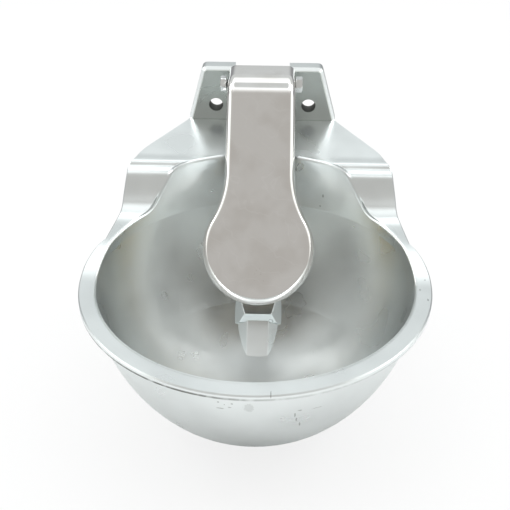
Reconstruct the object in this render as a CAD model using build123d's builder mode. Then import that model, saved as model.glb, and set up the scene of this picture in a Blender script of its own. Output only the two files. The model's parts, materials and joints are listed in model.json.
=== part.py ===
"""Wall-mounted livestock drinking bowl with a nose-operated tongue valve.

Millimetres. The origin lies on the wall face, midway between the two wall holes.
+Y points into the wall, +Z up, and the bowl reaches out along -Y.
"""

import os
from math import asin, atan2, cos, degrees, hypot, radians, sin, sqrt, tan

from build123d import *

# ---- Driving dimensions ------------------------------------------------------
# Bowl: an ellipsoid shell that hangs below the rim, round in plan
REACH = 160.0  # wall face to the centre of the bowl's opening
RIM_DROP = 58.0  # wall holes down to the front rim
OPENING_R = 104.5
BOWL_DEPTH = 106.5  # inside, below the front rim
FLOOR_R = 98.0
WALL = 3.5
WALL_DRAFT = 5.0  # degrees, inwards from the rim

# Flange: one casting skin that rises over two shoulders to the deck at the wall
FLANGE_T = 3.6
FLANGE_R = 115.5  # front half of the outline
FLANGE_FORWARD = 1.5  # the outline's circle stands this far in front of the opening's
EDGE_BEVEL = 0.8
OPENING_ROUND = 2.0

# Wall plate
PLATE_T = 11.0
PLATE_TOP = 29.5
PLATE_BOTTOM = -34.0
PLATE_TOP_HALF = 44.0
PLATE_DECK_HALF = 55.0
DECK_AT_PLATE = -12.0
PLATE_BEVEL = 2.6
HOLE_SPACING = 69.0
HOLE_R = 5.2
NOTCH_HALF = 20.0
NOTCH_DEPTH = 14.0
NOTCH_R = 4.0

# Hinge: an M6 bolt through two cast lugs
PIVOT_Y = -27.0
PIVOT_Z = 24.0
BOLT_R = 3.0
BOLT_PLAY = 0.1
BOLT_LENGTH = 55.0
BOLT_HEAD_T = 4.0
BOLT_AF = 10.0
NUT_T = 4.8
NUT_X = 24.6  # inner face of the nut
BOLT_CHAMFER = 0.6
HEX_FACE = 0.5
HEX_CHAMFER = 0.9  # share of a hexagon's corner that is turned down
THREAD_PLAY = 0.05
LUG_IN = 12.5
LUG_OUT = 19.5
LUG_NOSE_R = 5.9
LUG_TOE_Y = -44.0

# Paddle: pressed stainless tongue with a turned-down edge
STEEL_T = 2.0
WEB_TOP = 32.0
WEB_REAR_Y = -12.0
BEND_Y = -40.0  # where the web's and the tongue's planes would meet
BEND_R = 20.0
TONGUE_LEAN = 32.0  # degrees from vertical
EDGE_DEPTH = 6.5
EDGE_R = 5.5
HINGE_HALF = 24.0
NECK_HALF = 25.5
SPOON_R = 40.0
SPOON_DOWN = 119.5  # along the tongue, from the bend to the spoon's centre
NECK_FLARE_R = 70.0
EAR_R = 9.0
EAR_RUN = 14.0
PRISM_ABOVE = 30.0  # the cutting prism's reach past the bend

# Valve, as distances along its own axis from the point where it meets the tongue
BOSS_R = 20.0
BOSS_FRONT = 42.0
BOSS_BACK = 64.0
BOSS_ROUND = 2.0
SHANK_R = 12.0  # thread of the lock nut
INLET_R = 10.4  # G 1/2 pipe thread
RELIEF_R = 9.4
RELIEF_W = 1.5
BODY_BORE_R = 12.3
BODY_FRONT = 28.0
SHANK_BACK = 75.0
BODY_END = 92.0
GASKET_T = 2.0
CHAMBER_R = 7.6
SEAT_AT = 47.0
SEAT_R = 4.6
NOZZLE_R = 5.6
NOZZLE_BRIM_R = 8.0
NOZZLE_BRIM_T = 1.0
CAP_FRONT = 21.0
CAP_THREAD_R = 8.6
STEM_R = 2.5
STEM_PLAY = 0.06
STEM_TIP = 2.25
STEM_NECK_R = 2.0
NECK_PLAY = 0.05
SPRING_WIRE_R = 0.6
SPRING_R = 5.3
SPRING_TURNS = 5
WIRE_SIDES = 8  # the wire's section, kept light
SPRING_BACK = 74.0

COLLAR_R = 16.0
COLLAR_T = 4.5
HEX_AF = 25.0
SEAT_LIP = 1.0
SEAT_WEB = 5.0
LOCK_NUT_AF = 32.0
LOCK_NUT_T = 7.0
CAP_AF = 22.0
CAP_GASKET_T = 1.0
CAP_FLOOR = 30.0
CAP_HOLLOW_R = 6.8
PORTS = 6
PORT_R = 1.3
PORT_PCR = 4.9
STEM_DOME = 2.0
STEM_END = 57.0
WASHER_R = 6.2
WASHER_T = 3.0
CUP_R = 6.9
CUP_T = 2.0
STEM_NUT_AF = 7.0
STEM_NUT_T = 3.2
RETAINER_T = 3.0
RETAINER_PCR = 3.3
CLIP_T = 1.0
CLIP_R = 8.2
CLIP_PLAY = 0.1
CLIP_W = 1.5
CLIP_GAP = 60.0  # degrees
STRAINER_FRONT = 80.0
STRAINER_R = 6.4
STRAINER_T = 0.5
STRAINER_SLOTS = 8
STRAINER_SLOT = (1.4, 7.0)

# Cast ridge that runs from the valve boss down to the bowl's floor
RAMP_HALF = 8.0
LEDGE_HALF = 5.4
RAMP_DRAFT = 60.0  # degrees
LEDGE_DRAFT = 48.0  # degrees
RIDGE_ROUND = 1.5
RIDGE_SLOPE = 45.0  # degrees
RIDGE_REACH = 80.0
RIDGE_DEPTH = 45.0

# Ribs behind the bowl, and the plate's corners
RIB_X = 28.0
RIB_T = 6.0
RIB_ROUND = 2.0
RIB_FRONT_Y = -57.5
RIB_FOOT_Z = -72.0
PLATE_CORNER_R = 4.0

# ---- Frames and curves that several pieces share ------------------------------
RIM_CENTRE = (0, -REACH, -RIM_DROP)
BOWL_AXIS = Axis(RIM_CENTRE, (0, 0, 1))
BIG = 130.0  # half length of a tool that cuts right across the bowl
TOOL_FLOOR = -RIM_DROP - 20  # a level clear below the flange

lean = radians(TONGUE_LEAN)
TONGUE = Plane(
    origin=(0, BEND_Y, WEB_TOP), x_dir=(1, 0, 0), z_dir=(0, -cos(lean), sin(lean))
)
SPOON_Y = BEND_Y - SPOON_DOWN * sin(lean)
SPOON_Z = WEB_TOP - SPOON_DOWN * cos(lean)

# The valve pushes square to the line from the pivot to the spoon's centre
arm_y, arm_z = SPOON_Y - PIVOT_Y, SPOON_Z - PIVOT_Z
ARM = hypot(arm_y, arm_z)
PUSH = (0, -arm_z / ARM, arm_y / ARM)
VALVE = Plane(origin=(0, SPOON_Y, SPOON_Z), x_dir=(1, 0, 0), z_dir=PUSH)
HINGE = Plane(origin=(0, PIVOT_Y, PIVOT_Z), x_dir=(0, 1, 0), z_dir=(1, 0, 0))
VALVE_AXIS = Axis((0, SPOON_Y, SPOON_Z), PUSH)
VALVE_HALF = Plane(
    origin=(0, SPOON_Y, SPOON_Z), x_dir=(1, 0, 0), z_dir=(0, -PUSH[2], PUSH[1])
)

# Top of the flange from the front rim, over the shoulders, up the deck to the wall
CREST = [
    (-REACH - 119, -RIM_DROP),
    (-REACH, -RIM_DROP + 1.5),
    (-REACH + 33, -RIM_DROP + 8.5),
    (-REACH + 72.5, -RIM_DROP + 10.2),
    (-REACH + 87, -RIM_DROP + 39.3),
    (-REACH + 101, -RIM_DROP + 39.6),
    (-PLATE_T, DECK_AT_PLATE),
    (-1, DECK_AT_PLATE + 1.3),
]
CREST_RADII = [60, 60, 9, 9, 30, 30]

# Right half of the flange's plan, from the widest point back to the wall plate
SHOULDER = [
    (104, -REACH + 37),
    (97.6, -REACH + 76),
    (86.5, -REACH + 108),
    (PLATE_DECK_HALF - 0.5, -PLATE_T + 2),
    (PLATE_DECK_HALF - 0.5, -1),
]
SHOULDER_RADII = [70, 45]


def ring(inner, outer, start, end):
    """Round piece on the valve's axis, from start to end."""
    with BuildPart() as piece:
        with BuildSketch(VALVE.offset(start)):
            Circle(outer)
            if inner:
                Circle(inner, mode=Mode.SUBTRACT)
        extrude(amount=end - start)
    return piece.part


def on_opening(edge):
    """True for an edge that lies on the wall of the round opening."""
    middle = edge @ 0.5
    return abs(hypot(middle.X, middle.Y + REACH) - OPENING_R) < 0.05


def hexagon(axis_plane, across_flats, start, end):
    """Hexagon bar along the plane's axis, with its corners turned down at both ends."""
    corner_r = across_flats / 2 / cos(radians(30))
    with BuildPart() as bar:
        with BuildSketch(axis_plane.offset(start)):
            Circle(corner_r)
        extrude(amount=end - start)
        rims = edges().filter_by(GeomType.CIRCLE)
        chamfer(rims, length=HEX_CHAMFER * (corner_r - across_flats / 2))
        with BuildSketch(axis_plane.offset(start)):
            RegularPolygon(radius=across_flats / 2, side_count=6, major_radius=False)
        extrude(amount=end - start, mode=Mode.INTERSECT)
    return bar.part


def turned(*points):
    """Piece turned about the valve's axis from a half section of (radius, distance)."""
    with BuildPart() as piece:
        with BuildSketch(VALVE_HALF):
            with BuildLine():
                Polyline(*points, close=True)
            make_face()
        revolve(axis=VALVE_AXIS)
    return piece.part


# ---- Bowl casting --------------------------------------------------------------
# Section of the bowl: a side arc that leans in a little at the rim and runs into a
# rounder floor arc. Heights are from the rim.
FLOOR_DROP = BOWL_DEPTH - FLOOR_R
draft = radians(WALL_DRAFT)
side_room = OPENING_R * cos(draft) - FLOOR_DROP * sin(draft) - FLOOR_R
SIDE_R = (OPENING_R**2 + FLOOR_DROP**2 - FLOOR_R**2) / (2 * side_room)
side_centre = (OPENING_R - SIDE_R * cos(draft), SIDE_R * sin(draft))
FLOOR_TURN = degrees(atan2(FLOOR_DROP + side_centre[1], -side_centre[0]))
OUTER_RIM_R = side_centre[0] + sqrt((SIDE_R + WALL) ** 2 - side_centre[1] ** 2)


def bowl_section(grow):
    """Half section of the bowl below the rim, grown outwards; returns its ends."""
    side_at = (side_centre[0], side_centre[1] - RIM_DROP)
    start = -degrees(asin(side_centre[1] / (SIDE_R + grow)))
    side = CenterArc(side_at, SIDE_R + grow, start, -FLOOR_TURN - start)
    floor_centre = (0, -RIM_DROP - FLOOR_DROP)
    floor = CenterArc(floor_centre, FLOOR_R + grow, -FLOOR_TURN, FLOOR_TURN - 90)
    return side @ 0, floor @ 1


# Everything below the flange's top surface
with BuildPart() as under_crest:
    with BuildSketch(Plane.YZ):
        with BuildLine():
            FilletPolyline(*CREST, radius=CREST_RADII)
            Polyline(
                CREST[-1],
                (CREST[-1][0], TOOL_FLOOR),
                (CREST[0][0], TOOL_FLOOR),
                CREST[0],
            )
        make_face()
    extrude(amount=BIG, both=True)

# Flange and deck: the S-curved skin, cut to its plan
with BuildPart() as flange:
    with BuildSketch(Plane.YZ):
        with BuildLine():
            FilletPolyline(*CREST, radius=CREST_RADII)
            offset(amount=FLANGE_T, side=Side.RIGHT, closed=True)
        make_face()
    extrude(amount=BIG, both=True)
    with BuildSketch(Plane.XY.offset(TOOL_FLOOR)):
        with BuildLine():
            front_y = -REACH - FLANGE_FORWARD
            CenterArc((0, front_y), FLANGE_R, -90, 90)
            TangentArc((FLANGE_R, front_y), SHOULDER[0], tangent=(0, 1))
            FilletPolyline(*SHOULDER[:-1], radius=SHOULDER_RADII)
            Polyline(*SHOULDER[-2:], (0, -1))
            mirror(about=Plane.YZ)
        make_face()
    extrude(amount=BIG, mode=Mode.INTERSECT)
    skin_top = faces().filter_by(lambda f: f.normal_at().Z > 0.3)
    outline = skin_top.edges().filter_by(lambda e: abs((e % 0.5).X) < 0.999)
    chamfer(outline.filter_by(lambda e: e.center().Y < -PLATE_T + 1), length=EDGE_BEVEL)

# Round wall that carries the flange, from the rim level up to the deck
with BuildPart() as upper_wall:
    add(under_crest.part)
    with BuildSketch(Plane.XY.offset(-RIM_DROP)):
        with Locations((0, -REACH)):
            Circle(OUTER_RIM_R)
            Circle(OPENING_R, mode=Mode.SUBTRACT)
    extrude(amount=BIG, mode=Mode.INTERSECT)

# Flange and wall together, with the opening cut round in plan and its edge rounded
with BuildPart() as rim:
    add(flange.part)
    add(upper_wall.part)
    with BuildSketch(Plane.XY.offset(TOOL_FLOOR)):
        with Locations((0, -REACH)):
            Circle(OPENING_R)
    extrude(amount=BIG, mode=Mode.SUBTRACT)
    skin_top = faces().filter_by(lambda f: f.normal_at().Z > 0.3)
    fillet(skin_top.edges().filter_by(on_opening), radius=OPENING_ROUND)

# The bowl itself, from the rim down
with BuildPart() as bowl_shell:
    with BuildSketch(Plane.XZ.offset(REACH)):
        with BuildLine():
            inner_rim, inner_floor = bowl_section(0)
            outer_rim, outer_floor = bowl_section(WALL)
            Line(inner_rim, outer_rim)
            Line(inner_floor, outer_floor)
        make_face()
    revolve(axis=BOWL_AXIS)

# Solid inside the bowl's outer skin, which trims the ridge
with BuildPart() as bowl_outer:
    with BuildSketch(Plane.XZ.offset(REACH)):
        with BuildLine():
            outer_rim, outer_floor = bowl_section(WALL)
            Polyline(outer_rim, (0, -RIM_DROP), outer_floor)
        make_face()
    revolve(axis=BOWL_AXIS)


def drafted_rib(side, top, half_width, rib_draft):
    """Rib on the bowl's back wall: a side view, and flanks that widen from the point top."""
    with BuildPart() as rib:
        with BuildSketch(Plane.YZ):
            with BuildLine():
                Polyline(*[(y - REACH, z - RIM_DROP) for y, z in side], close=True)
            make_face()
        extrude(amount=BIG, both=True)
        slope = radians(RIDGE_SLOPE)
        crown = Plane(
            origin=(0, top[0] - REACH, top[1] - RIM_DROP),
            x_dir=(1, 0, 0),
            z_dir=(0, -sin(slope), cos(slope)),
        )
        with BuildSketch(crown):
            Rectangle(2 * half_width, 2 * RIDGE_REACH)
        extrude(amount=-RIDGE_DEPTH, taper=-rib_draft, mode=Mode.INTERSECT)
        crests = faces().filter_by(lambda f: abs(f.normal_at().X) < 0.01)
        crests = crests.filter_by(lambda f: f.normal_at().dot(crown.z_dir) > 0.3)
        fillet(crests.edges().filter_by(lambda e: abs((e % 0.5).X) < 0.99), radius=RIDGE_ROUND)
        add(bowl_outer.part, mode=Mode.INTERSECT)
    return rib.part


# Ridge below the valve: a ramp from the bowl's floor, a step, and a ledge under the boss.
# Side views as (back from the opening's centre, up from the rim).
ramp = drafted_rib(
    [(39, -100), (62, -77.4), (72, -68), (110, -60), (80, -110)],
    (62, -77.4),
    RAMP_HALF,
    RAMP_DRAFT,
)
ledge = drafted_rib(
    [(61.5, -79), (63, -72.4), (73, -66.5), (77.5, -52), (110, -45), (110, -90), (75, -100)],
    (77.5, -52),
    LEDGE_HALF,
    LEDGE_DRAFT,
)

# Hinge lug: nose concentric with the bolt, front face sloping down to the deck
with BuildPart() as lugs:
    with BuildSketch(Plane.YZ.offset(LUG_IN)):
        with BuildLine():
            nose = CenterArc((PIVOT_Y, PIVOT_Z), LUG_NOSE_R, 90, 100)
            Polyline(
                nose @ 0,
                (-PLATE_T, PIVOT_Z + LUG_NOSE_R),
                (-PLATE_T, PLATE_TOP - NOTCH_DEPTH - 1),
                (-PLATE_T + 3, PLATE_TOP - NOTCH_DEPTH - 2),
                (-PLATE_T + 3, DECK_AT_PLATE - 2),
                (LUG_TOE_Y, DECK_AT_PLATE - 5),
                nose @ 1,
            )
        make_face()
        with Locations((PIVOT_Y, PIVOT_Z)):
            Circle(BOLT_R + BOLT_PLAY, mode=Mode.SUBTRACT)
    extrude(amount=LUG_OUT - LUG_IN)
    mirror(about=Plane.YZ)

# Rib between the plate and the back of the bowl, one each side
with BuildPart() as ribs:
    with BuildSketch(Plane.YZ.offset(RIB_X - RIB_T / 2)):
        with BuildLine():
            Polyline(
                (-PLATE_T + 2, DECK_AT_PLATE - 1),
                (-PLATE_T + 2, PLATE_BOTTOM),
                (RIB_FRONT_Y, RIB_FOOT_Z),
                (RIB_FRONT_Y, DECK_AT_PLATE - 8),
                close=True,
            )
        make_face()
    extrude(amount=RIB_T)
    lower_face = faces().sort_by(Axis.Z)[0]
    fillet(lower_face.edges().filter_by(Axis.X, reverse=True), radius=RIB_ROUND)
    mirror(about=Plane.YZ)

with BuildPart() as plate:
    with BuildSketch(Plane.XZ):
        with BuildLine():
            Polyline(
                (0, PLATE_TOP),
                (PLATE_TOP_HALF, PLATE_TOP),
                (PLATE_DECK_HALF, DECK_AT_PLATE),
                (PLATE_DECK_HALF, PLATE_BOTTOM),
                (0, PLATE_BOTTOM),
            )
            mirror(about=Plane.YZ)
        make_face()
        corners = vertices().filter_by(lambda v: abs(v.X) > 1)
        fillet(corners.group_by(Axis.Y)[-1], radius=PLATE_CORNER_R)
        fillet(corners.group_by(Axis.Y)[0], radius=2 * PLATE_CORNER_R)
    extrude(amount=PLATE_T)
    front_edges = faces().sort_by(Axis.Y)[0].edges()
    slanted = front_edges.filter_by(lambda e: abs(e.center().X) > NOTCH_HALF + 5)
    chamfer(slanted.filter_by(GeomType.LINE).group_by(Axis.Z)[-1], length=PLATE_BEVEL)
    # Notch in the plate's top, behind the paddle
    with BuildSketch(Plane.XZ):
        with Locations((0, PLATE_TOP)):
            RectangleRounded(2 * NOTCH_HALF, 2 * NOTCH_DEPTH, radius=NOTCH_R)
    extrude(amount=PLATE_T, mode=Mode.SUBTRACT)
    # Wall holes
    with BuildSketch(Plane.XZ):
        with Locations((-HOLE_SPACING / 2, 0), (HOLE_SPACING / 2, 0)):
            Circle(HOLE_R)
    extrude(amount=PLATE_T, mode=Mode.SUBTRACT)

# Boss for the valve, with a rounded back edge
with BuildPart() as boss:
    with BuildSketch(VALVE.offset(BOSS_FRONT)):
        Circle(BOSS_R)
    extrude(amount=BOSS_BACK - BOSS_FRONT)
    fillet(edges().filter_by(GeomType.CIRCLE).sort_by(VALVE_AXIS)[-1], radius=BOSS_ROUND)
boss_bore = ring(0, BODY_BORE_R, BOSS_FRONT - 1, BOSS_BACK + 1)

with BuildPart() as bowl_casting:
    add(rim.part)
    add(plate.part)
    add(bowl_shell.part)
    add(ramp)
    add(ledge)
    add(boss.part)
    add(lugs.part)
    add(ribs.part)
    add(boss_bore, mode=Mode.SUBTRACT)
bowl_casting.part.label = "bowl_casting"

# ---- Paddle --------------------------------------------------------------------
bend_turn = radians(90 - TONGUE_LEAN)


def paddle_outline(inset):
    """Prism square to the tongue, with the outline of its neck and spoon."""
    with BuildPart() as prism:
        with BuildSketch(TONGUE):
            with BuildLine():
                Polyline(
                    (HINGE_HALF - inset, PRISM_ABOVE),
                    (NECK_HALF - inset, -SPOON_DOWN),
                    (inset - NECK_HALF, -SPOON_DOWN),
                    (inset - HINGE_HALF, PRISM_ABOVE),
                    close=True,
                )
            make_face()
            with Locations((0, -SPOON_DOWN)):
                Circle(SPOON_R - inset)
            shoulders = vertices().filter_by(lambda v: v.Y < 0 and abs(v.X) < NECK_HALF + 1)
            fillet(shoulders, radius=NECK_FLARE_R + inset)
        extrude(amount=BIG, both=True)
    return prism.part


def paddle_form(prism, inset, depth, rear_y):
    """Solid form of the pressing, its top moved in by inset and trimmed to the prism."""
    bend = (BEND_Y + inset * tan(bend_turn / 2), WEB_TOP - inset)
    reach = SPOON_DOWN + SPOON_R + 20
    toe = (bend[0] - reach * sin(lean), bend[1] - reach * cos(lean))
    with BuildPart() as form:
        with BuildSketch(Plane.YZ):
            with BuildLine():
                FilletPolyline((rear_y, bend[1]), bend, toe, radius=BEND_R - inset)
                offset(amount=depth, side=Side.LEFT, closed=True)
            make_face()
        extrude(amount=BIG, both=True)
        add(prism, mode=Mode.INTERSECT)
        top = faces().filter_by(lambda f: f.normal_at().dot(TONGUE.z_dir) > 0.4)
        edge = top.edges().filter_by(Axis.X, reverse=True)
        fillet(edge, radius=EDGE_R - inset)
    return form.part


outer_prism = paddle_outline(0)
inner_prism = paddle_outline(STEEL_T)
pressing = paddle_form(outer_prism, 0, EDGE_DEPTH, WEB_REAR_Y)
hollow = paddle_form(inner_prism, STEEL_T, EDGE_DEPTH, WEB_REAR_Y + 5)

# Ear round the hinge bolt, running forward into the tongue's turned-down edge
ear_drop = EDGE_R + 0.5
ear_bend = (BEND_Y + ear_drop * tan(bend_turn / 2), WEB_TOP - ear_drop)
ear_toe = (ear_bend[0] - EAR_RUN * sin(lean), ear_bend[1] - EAR_RUN * cos(lean))
with BuildPart() as ears:
    with BuildSketch(Plane.YZ):
        with BuildLine():
            crown = FilletPolyline(
                (PIVOT_Y + EAR_R, ear_bend[1]), ear_bend, ear_toe, radius=BEND_R - ear_drop
            )
            Polyline(crown @ 1, (PIVOT_Y, PIVOT_Z - EAR_R))
            Line((PIVOT_Y + EAR_R, ear_bend[1]), (PIVOT_Y + EAR_R, PIVOT_Z))
            RadiusArc((PIVOT_Y + EAR_R, PIVOT_Z), (PIVOT_Y, PIVOT_Z - EAR_R), EAR_R)
        make_face()
        with Locations((PIVOT_Y, PIVOT_Z)):
            Circle(BOLT_R + BOLT_PLAY, mode=Mode.SUBTRACT)
    extrude(amount=BIG, both=True)
    add(outer_prism, mode=Mode.INTERSECT)
    add(inner_prism, mode=Mode.SUBTRACT)

with BuildPart() as paddle:
    add(pressing)
    add(hollow, mode=Mode.SUBTRACT)
    add(ears.part)
    with BuildSketch(Plane.YZ.offset(-BIG / 2)):
        with Locations((PIVOT_Y, PIVOT_Z)):
            Circle(BOLT_R + BOLT_PLAY)
    extrude(amount=BIG, mode=Mode.SUBTRACT)
paddle.part.label = "paddle"

# ---- Hinge bolt and nut ----------------------------------------------------------
BOLT_HEAD_X = NUT_X + NUT_T - BOLT_LENGTH  # under the head, on the left
bolt_head = hexagon(HINGE, BOLT_AF, BOLT_HEAD_X - BOLT_HEAD_T, BOLT_HEAD_X)
with BuildPart() as hinge_bolt:
    with BuildSketch(HINGE.offset(BOLT_HEAD_X)):
        Circle(BOLT_R)
    extrude(amount=BOLT_LENGTH)
    chamfer(faces().sort_by(Axis.X)[-1].edges(), length=BOLT_CHAMFER)
    add(bolt_head)
hinge_bolt.part.label = "hinge_bolt"

with BuildPart() as hinge_nut:
    add(hexagon(HINGE, BOLT_AF, NUT_X, NUT_X + NUT_T))
    with BuildSketch(HINGE.offset(NUT_X)):
        Circle(BOLT_R + THREAD_PLAY)
    extrude(amount=NUT_T, mode=Mode.SUBTRACT)
hinge_nut.part.label = "hinge_nut"

# ---- Valve -----------------------------------------------------------------------
# Brass body: hexagon and collar in the bowl, threaded shank out through the boss.
# Its half section runs from the cap's thread, along the outside, back up the inside.
COLLAR_BACK = BOSS_FRONT - GASKET_T
GROOVE_AT = SPRING_BACK + RETAINER_T
body_turning = turned(
    (CAP_THREAD_R, BODY_FRONT),
    (HEX_AF / 2 - HEX_FACE, BODY_FRONT),
    (HEX_AF / 2 - HEX_FACE, COLLAR_BACK - COLLAR_T),
    (COLLAR_R, COLLAR_BACK - COLLAR_T),
    (COLLAR_R, COLLAR_BACK),
    (SHANK_R, COLLAR_BACK),
    (SHANK_R, SHANK_BACK),
    (RELIEF_R, SHANK_BACK),
    (RELIEF_R, SHANK_BACK + RELIEF_W),
    (INLET_R, SHANK_BACK + RELIEF_W),
    (INLET_R, BODY_END - 1),
    (INLET_R - 1, BODY_END),
    (CHAMBER_R, BODY_END),
    (CHAMBER_R, GROOVE_AT + CLIP_T + CLIP_PLAY),
    (CLIP_R + CLIP_PLAY, GROOVE_AT + CLIP_T + CLIP_PLAY),
    (CLIP_R + CLIP_PLAY, GROOVE_AT),
    (CHAMBER_R, GROOVE_AT),
    (CHAMBER_R, SEAT_AT - SEAT_LIP),
    (NOZZLE_R + NECK_PLAY, SEAT_AT - SEAT_LIP),
    (NOZZLE_R + NECK_PLAY, SEAT_AT - SEAT_WEB),
    (CAP_THREAD_R, SEAT_AT - SEAT_WEB),
)
body_bar = hexagon(VALVE, HEX_AF, BODY_FRONT, COLLAR_BACK - COLLAR_T)
with BuildPart() as valve_body:
    add(body_bar)
    with BuildSketch(VALVE.offset(BODY_FRONT)):
        Circle(CAP_THREAD_R)
    extrude(amount=COLLAR_BACK - COLLAR_T - BODY_FRONT, mode=Mode.SUBTRACT)
    add(body_turning)
valve_body.part.label = "valve_body"

# Nozzle: the seat that the washer closes on, clamped in the body's web by the cap
NOZZLE_FRONT = SEAT_AT - SEAT_WEB - NOZZLE_BRIM_T
seat_nozzle = turned(
    (SEAT_R, NOZZLE_FRONT),
    (NOZZLE_BRIM_R, NOZZLE_FRONT),
    (NOZZLE_BRIM_R, SEAT_AT - SEAT_WEB),
    (NOZZLE_R, SEAT_AT - SEAT_WEB),
    (NOZZLE_R, SEAT_AT),
    (SEAT_R, SEAT_AT),
)
seat_nozzle.label = "seat_nozzle"

front_gasket = ring(SHANK_R + NECK_PLAY, COLLAR_R - 0.5, COLLAR_BACK, BOSS_FRONT)
front_gasket.label = "front_gasket"

back_washer = ring(
    SHANK_R + NECK_PLAY, LOCK_NUT_AF / 2 + 1, BOSS_BACK, BOSS_BACK + GASKET_T
)
back_washer.label = "back_washer"

lock_nut_bar = hexagon(
    VALVE, LOCK_NUT_AF, BOSS_BACK + GASKET_T, BOSS_BACK + GASKET_T + LOCK_NUT_T
)
with BuildPart() as lock_nut:
    add(lock_nut_bar)
    with BuildSketch(VALVE.offset(BOSS_BACK + GASKET_T)):
        Circle(SHANK_R + NECK_PLAY)
    extrude(amount=LOCK_NUT_T, mode=Mode.SUBTRACT)
lock_nut.part.label = "lock_nut"

# Outlet cap: guides the stem and lets the water out through a ring of ports
cap_turning = turned(
    (STEM_R + STEM_PLAY, CAP_FRONT),
    (CAP_AF / 2 - HEX_FACE, CAP_FRONT),
    (CAP_AF / 2 - HEX_FACE, BODY_FRONT - CAP_GASKET_T),
    (CAP_THREAD_R - NECK_PLAY, BODY_FRONT - CAP_GASKET_T),
    (CAP_THREAD_R - NECK_PLAY, NOZZLE_FRONT),
    (CAP_HOLLOW_R, NOZZLE_FRONT),
    (CAP_HOLLOW_R, CAP_FLOOR),
    (STEM_R + STEM_PLAY, CAP_FLOOR),
)
cap_bar = hexagon(VALVE, CAP_AF, CAP_FRONT, BODY_FRONT - CAP_GASKET_T)
with BuildPart() as outlet_cap:
    add(cap_bar)
    with BuildSketch(VALVE.offset(CAP_FRONT)):
        Circle(CAP_THREAD_R - 1)
    extrude(amount=BODY_FRONT - CAP_GASKET_T - CAP_FRONT, mode=Mode.SUBTRACT)
    add(cap_turning)
    with BuildSketch(VALVE.offset(CAP_FRONT)):
        with PolarLocations(PORT_PCR, PORTS):
            Circle(PORT_R)
    extrude(amount=CAP_FLOOR - CAP_FRONT, mode=Mode.SUBTRACT)
outlet_cap.part.label = "outlet_cap"

cap_gasket = ring(
    CAP_THREAD_R + NECK_PLAY, CAP_AF / 2, BODY_FRONT - CAP_GASKET_T, BODY_FRONT
)
cap_gasket.label = "cap_gasket"

# Stem: domed where the tongue pushes it, stepped down behind the seat
with BuildPart() as valve_stem:
    with BuildSketch(VALVE.offset(STEM_TIP)):
        Circle(STEM_R)
    extrude(amount=SEAT_AT - STEM_TIP)
    fillet(edges().filter_by(GeomType.CIRCLE).sort_by(VALVE_AXIS)[0], radius=STEM_DOME)
    with BuildSketch(VALVE.offset(SEAT_AT)):
        Circle(STEM_NECK_R)
    extrude(amount=STEM_END - SEAT_AT)
valve_stem.part.label = "valve_stem"

seat_washer = ring(STEM_NECK_R + NECK_PLAY, WASHER_R, SEAT_AT, SEAT_AT + WASHER_T)
seat_washer.label = "seat_washer"

# Cup that backs the washer and grips its edge
CUP_BACK = SEAT_AT + WASHER_T + CUP_T
washer_cup = turned(
    (STEM_NECK_R + NECK_PLAY, SEAT_AT + WASHER_T),
    (WASHER_R + NECK_PLAY, SEAT_AT + WASHER_T),
    (WASHER_R + NECK_PLAY, SEAT_AT + WASHER_T / 2),
    (CUP_R, SEAT_AT + WASHER_T / 2),
    (CUP_R, CUP_BACK),
    (STEM_NECK_R + NECK_PLAY, CUP_BACK),
)
washer_cup.label = "washer_cup"

stem_nut_bar = hexagon(VALVE, STEM_NUT_AF, CUP_BACK, CUP_BACK + STEM_NUT_T)
with BuildPart() as stem_nut:
    add(stem_nut_bar)
    with BuildSketch(VALVE.offset(CUP_BACK)):
        Circle(STEM_NECK_R + NECK_PLAY)
    extrude(amount=STEM_NUT_T, mode=Mode.SUBTRACT)
stem_nut.part.label = "stem_nut"

retainer_disc = ring(0, CHAMBER_R - NECK_PLAY, SPRING_BACK, GROOVE_AT)

# Spring: its first and last turns touch the cup and the retainer
SPRING_FRONT = CUP_BACK + SPRING_WIRE_R
with BuildPart() as valve_spring:
    with BuildLine() as spring_line:
        length = SPRING_BACK - SPRING_WIRE_R - SPRING_FRONT
        Helix(
            pitch=length / SPRING_TURNS,
            height=length,
            radius=SPRING_R,
            center=VALVE.offset(SPRING_FRONT).origin,
            direction=VALVE.z_dir,
        )
    with BuildSketch(Plane(origin=spring_line.line @ 0, z_dir=spring_line.line % 0)):
        RegularPolygon(radius=SPRING_WIRE_R, side_count=WIRE_SIDES)
    sweep(is_frenet=True)
valve_spring.part.label = "valve_spring"

# Disc that the spring bears on, with holes for the water, held by a spring clip
with BuildPart() as spring_retainer:
    add(retainer_disc)
    with BuildSketch(VALVE.offset(SPRING_BACK)):
        Circle(PORT_R)
        with PolarLocations(RETAINER_PCR, PORTS):
            Circle(PORT_R)
    extrude(amount=RETAINER_T, mode=Mode.SUBTRACT)
spring_retainer.part.label = "spring_retainer"

with BuildPart() as retaining_clip:
    with BuildSketch(VALVE.offset(GROOVE_AT)):
        Circle(CLIP_R)
        Circle(CLIP_R - CLIP_W, mode=Mode.SUBTRACT)
        with BuildLine():
            mouth = CLIP_R / cos(radians(CLIP_GAP / 2)) + 1
            corner = (mouth * cos(radians(CLIP_GAP / 2)), mouth * sin(radians(CLIP_GAP / 2)))
            Polyline((0, 0), corner, (corner[0], -corner[1]), close=True)
        make_face(mode=Mode.SUBTRACT)
    extrude(amount=CLIP_T)
retaining_clip.part.label = "retaining_clip"

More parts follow.
